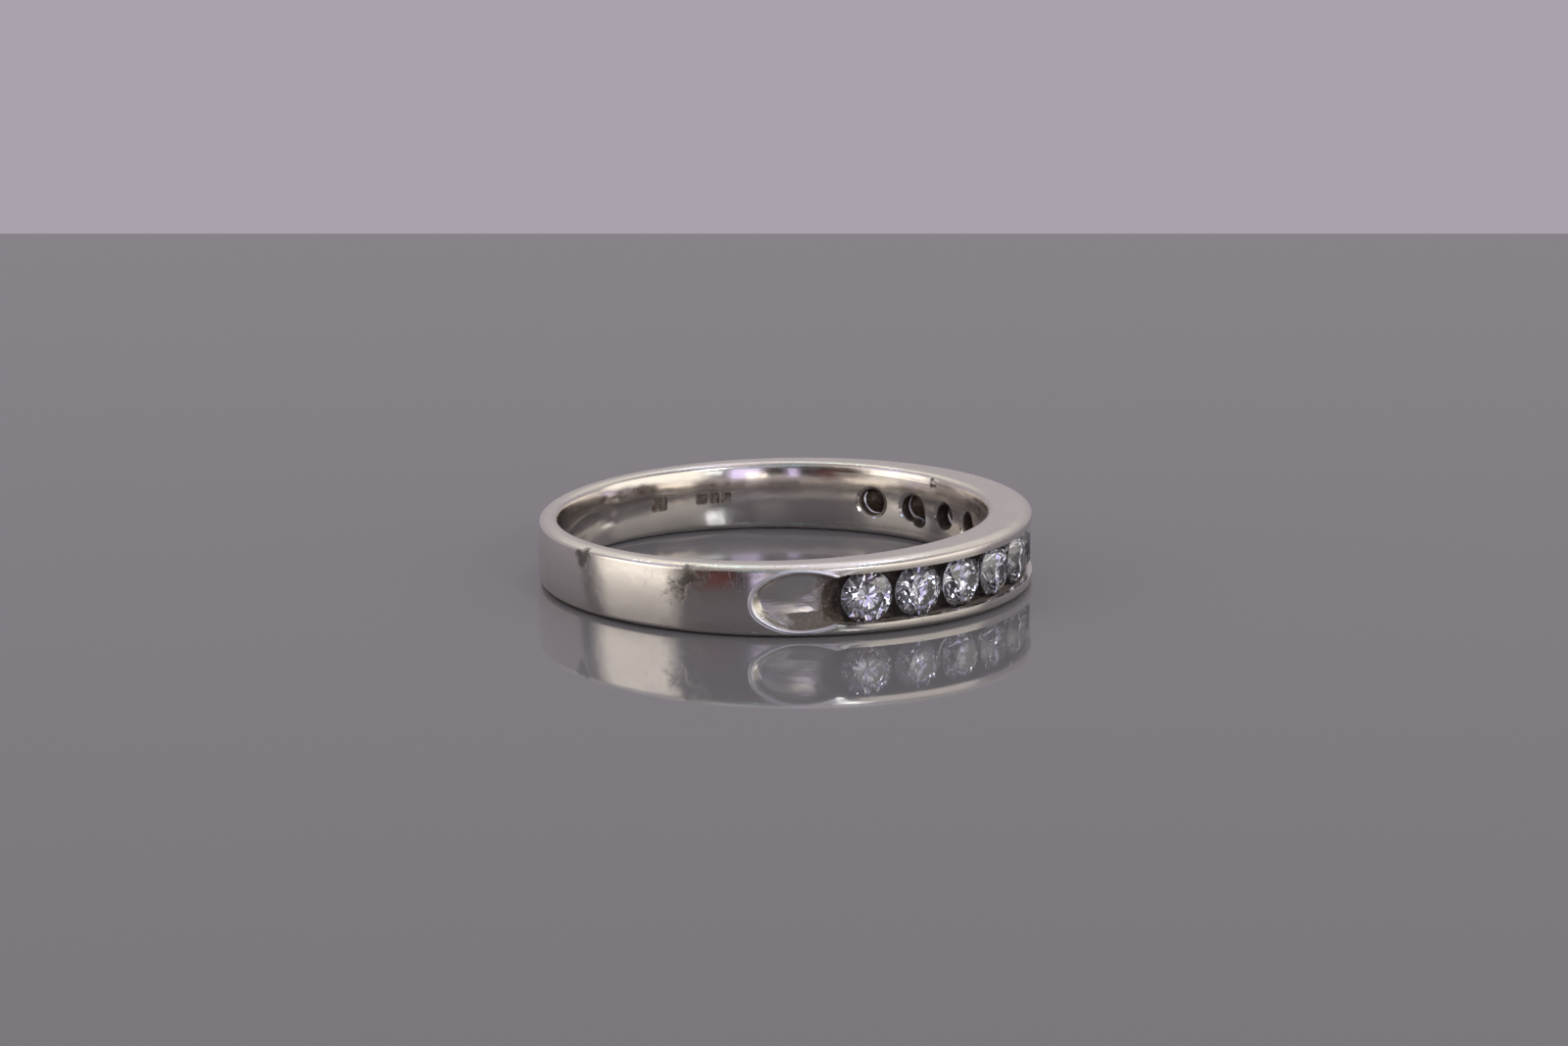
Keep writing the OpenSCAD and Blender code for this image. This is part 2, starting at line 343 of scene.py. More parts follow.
def bulletOutline():
    # Half of a pocket's outline from the stones' end to the tip, as (along, half width, share of the rim)
    narrow = channelHalf - pocket["throat"]
    throat = -sqrt(innerR ** 2 - (innerR - half + narrow) ** 2)
    end = throat - pocket["brightRun"]

    def onSide(r, a):
        return r * sin(a), half - r + r * cos(a)

    steps, shares = pocket["steps"], pocket["rimShares"]
    runs = ((pocket["straightSteps"], lambda t: (end + (throat - end) * t, narrow)),
            (steps, lambda t: onSide(innerR, asin(throat / innerR) * (1 - t))),
            (steps, lambda t: onSide(sideR, touch * t)))
    points = []
    for (count, placeAt), low, high in zip(runs, shares, shares[1:]):
        points += [(*placeAt(i / count), low + (high - low) * i / count) for i in range(count)]
    for i in range(steps // 2 + 1):
        a = touch + (pi / 2 - touch) * i / (steps // 2)
        points.append((tipX + tipR * sin(a), tipR * cos(a), shares[-1]))
    return points


def pocketFloor(across):
    r = pocket["floorRadius"]
    return pocket["depth"] - (r - sqrt(r * r - across * across))


def softMin(a, b, k):
    h = max(k - abs(a - b), 0) / k
    return min(a, b) - h * h * k / 4


def rimProfile():
    # Across a pocket's rim: a fine groove outside, then a rounded bead that rolls over to the wall
    crest, top, width = pocket["crest"], pocket["crestDepth"], pocket["rimWidth"]
    grooved, sunk = pocket["grooveDepth"], pocket["rimDepth"]
    rows = [(-pocket["grooveWidth"], -0.02), (0, grooved)]
    for u in (crest / 3, crest * 2 / 3, crest):
        rows.append((u, top + grooved * (1 - u / crest) ** 2))
    for i in range(1, 7):
        t = i / 6
        rows.append((crest + (width - crest) * t, top + (sunk - top) * t ** 2.2))
    return rows


def pocketCutter(side):
    # A closed shell shaped like the pocket: from above the metal over the rim and down the wall to the floor
    top = bulletOutline()
    outline = top + [(x, -y, share) for x, y, share in reversed(top[:-1])]
    count = len(outline)
    normals = []
    for i in range(count):
        ax, ay, _ = outline[i - 1]
        bx, by, _ = outline[(i + 1) % count]
        length = sqrt((bx - ax) ** 2 + (by - ay) ** 2) or 1
        normals.append(((ay - by) / length, (bx - ax) / length))

    def offsetRing(rimPart, drop, depthAt):
        ring = []
        for (x, y, share), (nx, ny) in zip(outline, normals):
            inward = rimPart * share + drop
            px, py = x - nx * inward, y - ny * inward
            ring.append((px, py, depthAt(py, share)))
        return ring

    def wallDepth(py, share):
        wall = pocket["rimDepth"] * share + drop / pocket["wallSlope"]
        return softMin(wall, pocketFloor(py), pocket["fillet"])

    rim = rimProfile()
    rings = [offsetRing(rim[0][0], 0, lambda py, share: -pocket["above"])]
    for inward, depth in rim:
        rings.append(offsetRing(inward, 0, lambda py, share: depth * share if depth > 0 else depth))
    for drop in pocket["wallRows"]:
        rings.append(offsetRing(pocket["rimWidth"], drop, wallDepth))
    last = rings[-1]
    middle = sum(p[0] for p in last) / count
    for shrink in pocket["floorRows"]:
        rings.append([(middle + (px - middle) * shrink, py * shrink, pocketFloor(py * shrink))
                      for px, py, _ in last])
    points = [onBand(pocketAngle, x, y, depth) for ring in rings for x, y, depth in ring]
    points.append(onBand(pocketAngle, middle, 0, pocketFloor(0)))
    points = [(x, side * y, z) for x, y, z in points]
    faces = ringFaces(len(rings), count) + fanFaces((len(rings) - 1) * count, count, len(points) - 1)
    return meshObject("pocketCutter", points, faces + [tuple(range(count))])


def stampCutters():
    # Rounded plates that stand in the finger side of the band
    points, faces = [], []
    corner, sunk = stamps["corner"], stamps["sunk"]
    for angle, width, height in stamps["marks"]:
        start, outline = len(points), []
        for turned, cx, cy in ((0, 1, 1), (90, -1, 1), (180, -1, -1), (270, 1, -1)):
            outline += arcPoints(cx * (width / 2 - corner), cy * (height / 2 - corner), corner,
                                 turned, turned + 90, 4)
        for rise, shrink in ((-0.3, 1), (0, 1), (sunk * 0.8, 1), (sunk, 0.9)):
            for x, y in outline:
                a = radians(angle) + x * shrink / boreR
                r = boreR + rise + (y * shrink) ** 2 / (2 * band["comfortRadius"])
                points.append((r * cos(a) - band["boreShift"], r * sin(a), stamps["across"] + y * shrink))
        count = len(outline)
        plate = ringFaces(4, count) + [tuple(range(count)), tuple(range(3 * count, 4 * count))]
        faces += [tuple(start + i for i in face) for face in plate]
    return meshObject("stampCutters", points, faces)


def ballShell(middle, along, across, out, angle, around=12, levels=7):
    # A closed ball stretched along the band, across it and outwards
    places = []
    for k in range(1, levels):
        tilt = pi * k / levels
        for i in range(around):
            spin = 2 * pi * i / around
            places.append((cos(tilt) * out, sin(tilt) * cos(spin) * along, sin(tilt) * sin(spin) * across))
    points = []
    for w, u, v in places + [(out, 0, 0), (-out, 0, 0)]:
        x, y = turnedPoint(w, u, radians(angle))
        points.append((middle[0] + x, middle[1] + y, middle[2] + v))
    faces = ringFaces(levels - 1, around) + fanFaces(0, around, len(places))
    return points, faces + fanFaces((levels - 2) * around, around, len(places) + 1)


def secondDrill():
    # One hole was drilled twice, a little lower and to the side
    sides, r, a = secondHole["sides"], secondHole["radius"], radians(secondHole["angle"])
    points = []
    for radial in (floorR + secondHole["above"], floorR - secondHole["below"]):
        for i in range(sides):
            spin = 2 * pi * i / sides
            points.append((*turnedPoint(radial, r * cos(spin), a), secondHole["across"] + r * sin(spin)))
    caps = [tuple(range(sides)), tuple(range(sides, 2 * sides))]
    return meshObject("secondDrill", points, ringFaces(2, sides) + caps)


def nickCutters():
    shells = []
    for angle, across, above, alongSize, acrossSize, deep in nicks.values():
        middle = onBand(angle, 0, across, -above)
        shells.append(ballShell(middle, alongSize / 2, acrossSize / 2, deep, angle))
    chance = Random(5)
    for i in range(pit["count"]):
        a = radians(pit["angle"]) + chance.uniform(-1, 1) * pit["spread"] / boreR
        r = boreR + pit["rise"] - chance.uniform(0, pit["riseSpread"])
        across = pit["across"] + chance.uniform(-1, 1) * pit["spread"]
        middle = (r * cos(a) - band["boreShift"], r * sin(a), across)
        blob = pit["radius"] * chance.uniform(0.4, 0.8)
        shells.append(ballShell(middle, blob, blob, blob * 0.9, degrees(a)))
    return [meshObject("nickCutter", *shell) for shell in shells]


def stoneAngles(count, pitch):
    # The angle of each stone, for points that are numbered along the row
    middle = times(minus(count, 1.0), 0.5)
    return times(minus(geo(count.id_data, "InputIndex"), middle), pitch)


def placeCopies(count, places, shape, angle):
    # A copy of the shape at each place, its Z axis pointing away from the ring's middle
    tree = count.id_data
    row = geo(tree, "Points", {"Count": count})
    points = geo(tree, "SetPosition", {"Geometry": row, "Position": places})
    facing = join(tree, 0.0, pi / 2, angle)
    spin = addNode(tree, "FunctionNodeEulerToRotation", {0: facing}).outputs[0]
    copies = geo(tree, "InstanceOnPoints", {"Points": points, "Instance": shape, "Rotation": spin})
    return geo(tree, "RealizeInstances", {0: copies})


def layDown(geometry, material):
    # Lays a piece on its lower side, brings it to metres and gives it its material
    tree = geometry.id_data
    laid = geo(tree, "Transform", {
        "Geometry": geometry, "Translation": (0, 0, halfWidth * mm), "Rotation": Euler((0, -lean, 0)),
        "Scale": (mm, mm, mm)})
    real = geo(tree, "RealizeInstances", {0: laid})
    return geo(tree, "SetMaterial", {"Geometry": real, "Material": material})


def bandTree(cutters, material):
    ballR = channelHalf - channel["ballTrim"]
    tree, given, result = newTree("channelBand", {
        "Band profile": None, "Channel profile": None, **{name: None for name in cutters},
        "Outer radius": outerR, "Bore radius": boreR, "Bore shift": band["boreShift"],
        "Half width": halfWidth, "Taper": tan(lean), "Dome radius": domeR, "Drawn wall": band["wallDrawn"],
        "Unevenness": band["unevenness"], "Reach": min(-cadBox[0][1], cadBox[1][1]) / mm,
        "Lip drop": band["lipDrop"], "Lip reach": band["lipReach"], "Channel half width": channelHalf,
        "Steps": band["stepsRound"], "Stones": stones["count"], "Pitch": radians(stones["pitch"]),
        "Channel end": radians(lastStone + channel["endAngle"]), "Ball radius": ballR,
        "Ball place": floorR + ballR + channel["ballLift"], "Hole radius": holes["diameter"] / 2,
        "Mouth radius": holes["mouth"] / 2, "Hole drop": holes["drop"], "Seed": 7,
    }, {"Geometry": "Geometry"}, "GeometryNodeTree")
    outerRadius, channelEnd, boreShift = given["Outer radius"], given["Channel end"], given["Bore shift"]
    position = geo(tree, "InputPosition")
    x, y, _ = split(position)
    angle = calc("ARCTAN2", y, x)
    drawnX, drawnY, _ = split(geo(tree, "InputNamedAttribute", {"Name": "drawn"}, data_type="FLOAT_VECTOR"))

    def sweep(profile, path, caps):
        # Each point of the sweep keeps its place in the profile's drawing
        shape = geo(tree, "ObjectInfo", {"Object": given[profile]}, "Geometry")
        drawn = geo(tree, "StoreNamedAttribute", {
            "Geometry": geo(tree, "MeshToCurve", {"Mesh": shape}), "Name": "drawn", "Value": position},
            data_type="FLOAT_VECTOR", domain="POINT")
        return geo(tree, "CurveToMesh", {"Curve": path, "Profile Curve": drawn, "Fill Caps": caps})

    def boreAt(around):
        aside = absolute(times(boreShift, calc("SINE", around)))
        reach = calc("SQRT", minus(calc("POWER", given["Bore radius"], 2.0), calc("POWER", aside, 2.0)))
        return minus(reach, times(boreShift, calc("COSINE", around)))

    def choose(test, no, yes):
        return geo(tree, "Switch", {"Switch": test, "False": no, "True": yes}, input_type="FLOAT")

    # The body: the profile swept round a circle, then bent to the off-centre bore, the taper and the dome
    circle = geo(tree, "CurvePrimitiveCircle", {
        "Resolution": given["Steps"], "Radius": outerRadius}, mode="RADIUS")
    cosine, sine = calc("COSINE", angle), calc("SINE", angle)
    onOutside = calc("GREATER_THAN", drawnX, times(given["Drawn wall"], 0.5))
    flatOutside = minus(outerRadius, minus(given["Drawn wall"], drawnX))
    inside = plus(boreAt(angle), drawnX)
    flatRadius = choose(onOutside, inside, flatOutside)
    widen = plus(1.0, over(times(flatRadius, cosine, given["Taper"]), given["Half width"]))
    across = times(drawnY, widen)
    dome = over(times(across, across), times(given["Dome radius"], 2.0))
    wear = noise(position, band["wearSize"], 3.0)
    wearDepth = times(wear, given["Unevenness"])
    # over the channel the rails round down towards the stones
    towardsLip = calc("DIVIDE", minus(given["Lip reach"], absolute(across)),
                      minus(given["Lip reach"], given["Channel half width"]), clamp=True)
    overChannel = ramp(absolute(angle), plus(channelEnd, radians(band["lipStart"])),
                       minus(channelEnd, radians(band["lipFull"])))
    lipFall = times(times(towardsLip, towardsLip), times(overChannel, given["Lip drop"]))
    outside = minus(minus(minus(flatOutside, dome), wearDepth), lipFall)
    radius = choose(onOutside, plus(inside, wearDepth), outside)
    wornAcross = times(across, minus(1.0, times(wear, times(given["Unevenness"], 0.5))))
    farLimit = calc("MINIMUM", times(radius, sine), given["Reach"])
    bothLimits = larger(farLimit, times(given["Reach"], -1.0))
    body = geo(tree, "SetPosition", {
        "Geometry": sweep("Band profile", circle, False),
        "Position": join(tree, times(radius, cosine), bothLimits, wornAcross)})

    # The channel: its section swept along the arc of the stones, with a ball cutter's end at each side
    arc = geo(tree, "CurveArc", {
        "Resolution": channel["steps"], "Radius": outerRadius,
        "Start Angle": times(channelEnd, -1.0), "Sweep Angle": times(channelEnd, 2.0)},
        mode="RADIUS")
    cuts = [geo(tree, "SetPosition", {
        "Geometry": sweep("Channel profile", arc, True),
        "Position": polar(plus(outerRadius, drawnX), angle, drawnY)})]
    ball = geo(tree, "MeshUVSphere", {"Segments": 64, "Rings": 32, "Radius": given["Ball radius"]})
    for sign in (-1.0, 1.0):
        endPlace = polar(given["Ball place"], times(channelEnd, sign), 0.0)
        cuts.append(geo(tree, "Transform", {"Geometry": ball, "Translation": endPlace}))

    # The holes: one drill and one countersink to a stone, each a little off its mark
    markAngle = stoneAngles(given["Stones"], given["Pitch"])

    def holeRow(shape, radial, seed, jitter):
        shift = addNode(tree, "FunctionNodeRandomValue", {
            "Min": (-jitter, -jitter, -jitter), "Max": (jitter, jitter, jitter),
            "Seed": plus(given["Seed"], seed)}, data_type="FLOAT_VECTOR").outputs[0]
        mark = polar(radial, markAngle, times(given["Hole drop"], -1.0))
        shifted = shade(tree, "VectorMath", {0: mark, 1: shift}, operation="ADD")
        return placeCopies(given["Stones"], shifted, shape, markAngle)

    drill = geo(tree, "MeshCylinder", {
        "Vertices": holes["sides"], "Radius": given["Hole radius"], "Depth": holes["drillLength"]})
    sinkDepth = holes["sinkDepth"]
    sink = geo(tree, "MeshCone", {
        "Vertices": holes["sides"], "Radius Top": minus(given["Mouth radius"], sinkDepth / 2),
        "Radius Bottom": plus(given["Mouth radius"], sinkDepth / 2), "Depth": sinkDepth})
    sinkCentred = geo(tree, "Transform", {"Geometry": sink, "Translation": (0, 0, -sinkDepth / 2)})
    cuts.append(holeRow(drill, floorR - holes["drillDepth"], 1, holes["drillJitter"]))
    cuts.append(holeRow(sinkCentred, boreAt(markAngle), 2, holes["sinkJitter"]))

    cuts += [geo(tree, "ObjectInfo", {"Object": given[name]}, "Geometry") for name in cutters]
    cut = body
    for tool in cuts:
        cut = geo(tree, "MeshBoolean", {"Mesh 1": cut, "Mesh 2": tool},
                  operation="DIFFERENCE", solver="MANIFOLD")

    # Smooth faces with sharp edges where two cuts meet
    smooth = geo(tree, "SetShadeSmooth", {"Geometry": cut, "Shade Smooth": True}, domain="FACE")
    sharp = calc("GREATER_THAN", geo(tree, "InputMeshEdgeAngle"), radians(band["sharpAngle"]))
    edged = geo(tree, "SetShadeSmooth", {
        "Geometry": smooth, "Selection": sharp, "Shade Smooth": False}, domain="EDGE")
    tree.links.new(layDown(edged, material), result[0])
    return tree


# Shader groups that the materials share

def useGroup(tree, group, inputs=None):
    return addNode(tree, "ShaderNodeGroup", inputs, node_tree=group).outputs


def newMaterial(name):
    material = bpy.data.materials.new(name)
    material.use_nodes = True
    return material, material.node_tree, material.node_tree.nodes["Principled BSDF"].inputs


def bumpFrom(height):
    return shade(height.id_data, "Bump", {"Height": height, "Distance": mm, "Strength": 1.0})


def ringPlaceGroup():
    # Where a point lies on the ring: millimetres along the outside, across the band and under the outside
    tree, given, result = newTree("ringPlace", {}, {
        "Place": "Vector", "Across": "Float", "Depth": "Float", "Angle": "Float", "Radius": "Float",
        "Bore": "Float"})
    x, y, z = split(shade(tree, "Mapping", {
        "Vector": shade(tree, "TexCoord", output="Object"), "Rotation": (0, lean, 0),
        "Scale": (1 / mm, 1 / mm, 1 / mm), "Location": (-halfWidth * sin(lean), 0, -halfWidth * cos(lean))},
        vector_type="POINT"))
    angle, radius = calc("ARCTAN2", y, x), lengthOf(x, y)
    depth = minus(minus(outerR, over(times(z, z), 2 * domeR)), radius)
    bore = minus(lengthOf(plus(x, band["boreShift"]), y), boreR)
    place = join(tree, times(angle, outerR), z, depth)
    for name, socket in (("Place", place), ("Across", z), ("Depth", depth), ("Angle", angle),
                         ("Radius", radius), ("Bore", bore)):
        tree.links.new(socket, result[name])
    return tree


def scratchGroup():
    # Thin straight marks in three directions; density runs from few to many
    tree, given, result = newTree("fineScratches", {
        "Place": (0, 0, 0), "Length": 1.2, "Width": 0.02, "Density": 0.3, "Turn": 0.0}, {"Marks": "Float"})
    swung = shade(tree, "VectorRotate", {"Vector": given["Place"], "Angle": given["Turn"]},
                  rotation_type="Z_AXIS")
    low = minus(0.86, times(given["Density"], 0.3))
    total = None
    for turned, shift, share in ((0.12, 3.1, 1.0), (-0.55, 11.7, 0.8), (1.15, 27.3, 0.7)):
        x, y, z = split(shade(tree, "Mapping", {
            "Vector": swung, "Rotation": (0.3 * turned, 0, turned), "Location": (shift, shift, shift)}))
        drawn = join(tree, over(x, given["Length"]), over(y, given["Width"]), over(z, given["Width"]))
        marks = times(ramp(noise(drawn, 1.0, 1.0, 0.4), low, plus(low, 0.08)), share)
        total = marks if total is None else larger(total, marks)
    tree.links.new(total, result["Marks"])
    return tree


def patchesGroup():
    # Soft blotches for wear and dirt, between two thresholds
    tree, given, result = newTree("softPatches", {
        "Place": (0, 0, 0), "Size": 1.0, "From": 0.45, "To": 0.6}, {"Mask": "Float"})
    blotches = noise(given["Place"], over(1.0, given["Size"]), 4.0, 0.6)
    tree.links.new(ramp(blotches, given["From"], given["To"]), result["Mask"])
    return tree


def patchMask(place, width, start, full):
    return useGroup(place.id_data, softPatches, {
        "Place": place, "Size": width, "From": start, "To": full})["Mask"]


# White gold, worn by the finger outside and dirty where nothing rubs; painted shade darkens the scuffs and
# the pockets' ends, and a painted highlight and painted glints lighten the pockets' rims and floors

gold = {
    # the bright-cut rim's pale lilac colour is partly a painted highlight
    "colour": (0.82, 0.775, 0.725, 1), "brightCutHighlightColour": (0.95, 0.93, 0.97, 1),
    "floorColour": (0.72, 0.695, 0.65, 1), "wornColour": (0.72, 0.68, 0.65, 1),
    # the grime colours also paint shade at the pockets' ends
    "grimeAndShade": (0.085, 0.057, 0.042, 1), "paleGrimeAndShade": (0.24, 0.17, 0.13, 1),
    # the near-black scuff colour is a painted shade
    "scuffShadeColour": (0.08, 0.07, 0.065, 1), "markColour": (0.30, 0.28, 0.26, 1),
    # the lilac flake colour here paints glints
    # the pale streak colour here is a painted highlight
    "paintedHighlightColour": (1.0, 0.96, 0.88, 1), "glintFlakeColour": (0.62, 0.56, 0.60, 1),
    "roughness": 0.1, "wornRoughness": 0.3, "floorRoughness": 0.22, "paintedHighlightRoughness": 0.3,
    "rimRoughness": 0.4, "grimeAndShadeRoughness": 0.6, "flatRoughness": 0.17, "brushRoughness": 0.08,
    "markRoughness": 0.15, "scratchDepth": 0.0015, "fineDepth": 0.0005, "brushDepth": 0.0006,
    "waveDepth": 0.02, "grainDepth": 0.002, "grimeDepth": 0.012, "rippleDepth": 0.03, "cutDepth": 0.008,
    "glintFlakeDepth": 0.01, "dentDepth": 0.004, "wornShare": 0.35, "wornTint": 0.25, "markTint": 0.6,
    "scuffShadeTint": 0.8, "pocketGrimeAndShade": 0.8, "raggedReach": 0.16, "lowReach": 0.12,
    "pullAlong": 0.16, "pullAcross": 1.6,
}

# Where each effect begins and where it is full, in millimetres; the arcs are in degrees
goldEdges = {
    "pocketArc": (-9.5, -8), "pocketWall": (0.9, 0.7), "rimStart": (-0.035, -0.02), "rimEnd": (0.21, 0.17),
    "rimDepth": (0.12, 0.09), "floorDepth": (0.1, 0.13), "floorStart": (0.05, 0.1), "floorArc": (-14, -12),
    "channelArc": (13.5, 10), "channelDepth": (0.16, 0.4), "channelSide": (0.12, 0.06),
    "boreSkin": (0.05, 0.16), "stampFrom": (100, 102), "stampTo": (134, 132), "stampDepth": (0.015, 0.035),
    "stampSide": (0.5, 0.4), "stampWall": (0.5, 0.6), "paintedShadeLow": (-0.42, -0.56), "dirtAndShadeEnd": (-0.12, -0.19),
    "glintFlakeSide": (-0.45, -0.3),
    "outside": (0.3, 0.1), "rubbedAndShaded": (0.6, 1.2), "paintedHighlightSide": (0.15, 0.07), "paintedHighlightFrom": (0.0, 0.25),
    "paintedHighlightTo": (1.5, 1.25), "flatSide": (-0.36, -0.1),
}

# Scuffed spots, also painted dark as a painted shade: angle from the head, across, half sizes along and
# across, turn
scuffsAndShade = {"shankLeft": (-140.5, 0.95, 0.55, 0.45, 0), "shankMiddle": (-109.6, 0.7, 1.1, 0.65, 38)}


def pocketPlaceGroup():
    # How far a point lies inside a pocket's outline, from the place along and across the band
    tree, given, result = newTree("pocketPlace", {"Away": 0.0, "Across": 0.0}, {"Inwards": "Float"})
    x = times(minus(given["Away"], radians(pocketAngle)), outerR)
    y = absolute(given["Across"])
    fromSide = mixValue(calc("GREATER_THAN", x, 0.0), minus(innerR, lengthOf(x, minus(y, half - innerR))),
                        minus(sideR, lengthOf(x, minus(y, half - sideR))))
    pastTip = minus(x, tipX)
    fromTip = minus(tipR, lengthOf(pastTip, y))
    atTip = calc("GREATER_THAN", times(pastTip, cos(touch)), times(y, sin(touch)))
    atTip = times(atTip, calc("GREATER_THAN", pastTip, 0.0))
    tree.links.new(mixValue(atTip, fromSide, fromTip), result["Inwards"])
    return tree


def scuffAndShadeGroup():
    # Soft ovals at the places of the scuffs and of their painted shade
    tree, given, result = newTree("scuffsAndShade", {"Angle": 0.0, "Across": 0.0}, {"Mask": "Float"})
    total = None
    for angle, across, alongHalf, acrossHalf, turned in scuffsAndShade.values():
        x = times(minus(given["Angle"], radians(angle)), outerR)
        y = minus(given["Across"], across)
        c, s = cos(radians(turned)), sin(radians(turned))
        u = over(plus(times(x, c), times(y, s)), alongHalf)
        v = over(minus(times(y, c), times(x, s)), acrossHalf)
        spot = ramp(lengthOf(u, v), 1.25, 0.15)
        total = spot if total is None else larger(total, spot)
    tree.links.new(total, result["Mask"])
    return tree


ringPlace, fineScratches, softPatches = ringPlaceGroup(), scratchGroup(), patchesGroup()
pocketPlace, scuffAndShadeSpots = pocketPlaceGroup(), scuffAndShadeGroup()
print("shader groups built")


def whiteGoldMaterial():
    material, tree, shader = newMaterial("whiteGold")
    ring = useGroup(tree, ringPlace)
    place, across, depth = ring["Place"], ring["Across"], ring["Depth"]
    away, aside = absolute(ring["Angle"]), absolute(across)
    inwards = useGroup(tree, pocketPlace, {"Away": away, "Across": across})["Inwards"]

    def edge(name, value, about=0.0):
        low, high = goldEdges[name]
        return ramp(value, about + low, about + high)

    def arc(name, about=0.0):
        low, high = goldEdges[name]
        return ramp(away, radians(about + low), radians(about + high))

    def scratches(length, width, turned, density):
        return useGroup(tree, fineScratches, {
            "Place": place, "Length": length, "Width": width, "Turn": turned, "Density": density})["Marks"]

    # The rounded rim and the floor of each pocket; the rim is bright-cut metal whose pale lilac colour is
    # partly a painted highlight
    pocketWall = edge("pocketWall", depth)
    inner = times(pocketWall, arc("pocketArc", pocketAngle))
    rim = times(times(edge("rimStart", inwards), edge("rimEnd", inwards)),
                times(inner, edge("rimDepth", depth)))
    floorMask = times(times(edge("floorDepth", depth), edge("floorStart", inwards)),
                      times(pocketWall, arc("floorArc", pocketAngle)))

    # Grime lies under the stones, in their holes and in the stamps; at the inner end of each pocket the
    # darkening is dirt and painted shade together
    blotch = patchMask(place, 0.3, 0.3, 0.62)
    inChannel = times(edge("channelSide", aside, channelHalf), edge("channelDepth", depth),
                      edge("boreSkin", ring["Bore"]))
    grimeAndShade = times(times(arc("channelArc", lastStone), inChannel), plus(0.86, times(blotch, 0.14)))
    comfort = over(times(across, across), 2 * band["comfortRadius"])
    inStamp = times(edge("stampDepth", minus(ring["Bore"], comfort)), edge("stampSide", aside))
    stampGrime = times(times(arc("stampFrom"), arc("stampTo")), inStamp, plus(0.72, times(blotch, 0.28)))
    relief = larger(grimeAndShade, times(stampGrime, edge("stampWall", depth)))
    ragged = times(noise(place, 3.0, 4.0, 0.65), gold["raggedReach"])
    # the darkening reaches further along the pocket's lower side, a painted shade
    lowSide = times(edge("paintedShadeLow", across), gold["lowReach"])
    dirtAndShadeEnd = edge("dirtAndShadeEnd", minus(away, plus(lowSide, ragged)), radians(pocketAngle))
    pocketDirtAndShade = times(floorMask, dirtAndShadeEnd)
    # pale lilac flakes in the pocket's dirt, slightly raised, are painted glints
    glintFlakes = times(patchMask(place, 0.1, 0.56, 0.62), pocketDirtAndShade, edge("glintFlakeSide", across))
    grimeAndShade = larger(relief, times(pocketDirtAndShade, gold["pocketGrimeAndShade"]))

    # Wear: long brush lines round the ring, short scratches, and scuffed spots that blur what they mirror;
    # the rubbed places are also painted near black as a painted shade
    brush = noise(stretched(place, (0.35, 26.0, 26.0)), 1.0, 4.0, 0.7)
    wave, grain = noise(place, 0.75, 1.5), noise(place, 14.0, 3.0)
    worn = patchMask(place, 1.6, 0.36, 0.8)
    onOutside = edge("outside", depth)
    # a noise pulls the scuffed spots out of their round shape
    pullX, pullY, _ = split(noise(place, 1.6, 2.0, 0.5, "Color"))
    scuffedAndShaded = times(useGroup(tree, scuffAndShadeSpots, {
        "Angle": plus(ring["Angle"], times(minus(pullX, 0.5), gold["pullAlong"])),
        "Across": plus(across, times(minus(pullY, 0.5), gold["pullAcross"]))})["Mask"], onOutside)
    smear = shade(tree, "Mapping", {"Vector": place, "Rotation": (0, 0, -0.7), "Scale": (4.5, 16, 16)})
    rubbedAndShaded = edge("rubbedAndShaded", plus(noise(smear, 1.0, 4.0, 0.7), times(scuffedAndShaded, 0.8)))
    use = larger(times(worn, gold["wornShare"]), rubbedAndShaded)
    big = scratches(0.42, 0.042, 1.2, plus(0.22, times(onOutside, 0.26)))
    fine = scratches(0.3, 0.014, 1.45, plus(0.5, times(worn, 0.4)))
    fine = larger(fine, times(scratches(0.25, 0.02, 1.5, 1.0), rubbedAndShaded))
    kept = minus(1.0, larger(floorMask, rim))
    big, fine = times(big, kept), times(fine, kept)
    marks = larger(big, times(fine, 0.5))

    # a painted highlight, paler and rougher than the floor round it, runs along each pocket's floor a little
    # below its middle
    alongPocket = times(minus(away, radians(pocketAngle)), outerR)
    paintedHighlight = times(edge("paintedHighlightSide", absolute(minus(across, pocket["paintedHighlightAcross"]))),
                   times(edge("paintedHighlightFrom", alongPocket), edge("paintedHighlightTo", alongPocket)))

    floorColour = mixColour(paintedHighlight, gold["floorColour"], gold["paintedHighlightColour"])
    dirtAndShadeColour = mixColour(patchMask(place, 0.09, 0.5, 0.66), gold["grimeAndShade"], gold["paleGrimeAndShade"])
    colour = gold["colour"]
    for share, layer in (
            (floorMask, floorColour), (rim, gold["brightCutHighlightColour"]),
            (times(use, gold["wornTint"]), gold["wornColour"]),
            (times(marks, gold["markTint"]), gold["markColour"]),
            (times(rubbedAndShaded, gold["scuffShadeTint"]), gold["scuffShadeColour"]), (grimeAndShade, dirtAndShadeColour),
            (glintFlakes, gold["glintFlakeColour"])):
        colour = mixColour(share, colour, layer)
    tree.links.new(colour, shader["Base Color"])
    tree.links.new(minus(1.0, grimeAndShade), shader["Metallic"])

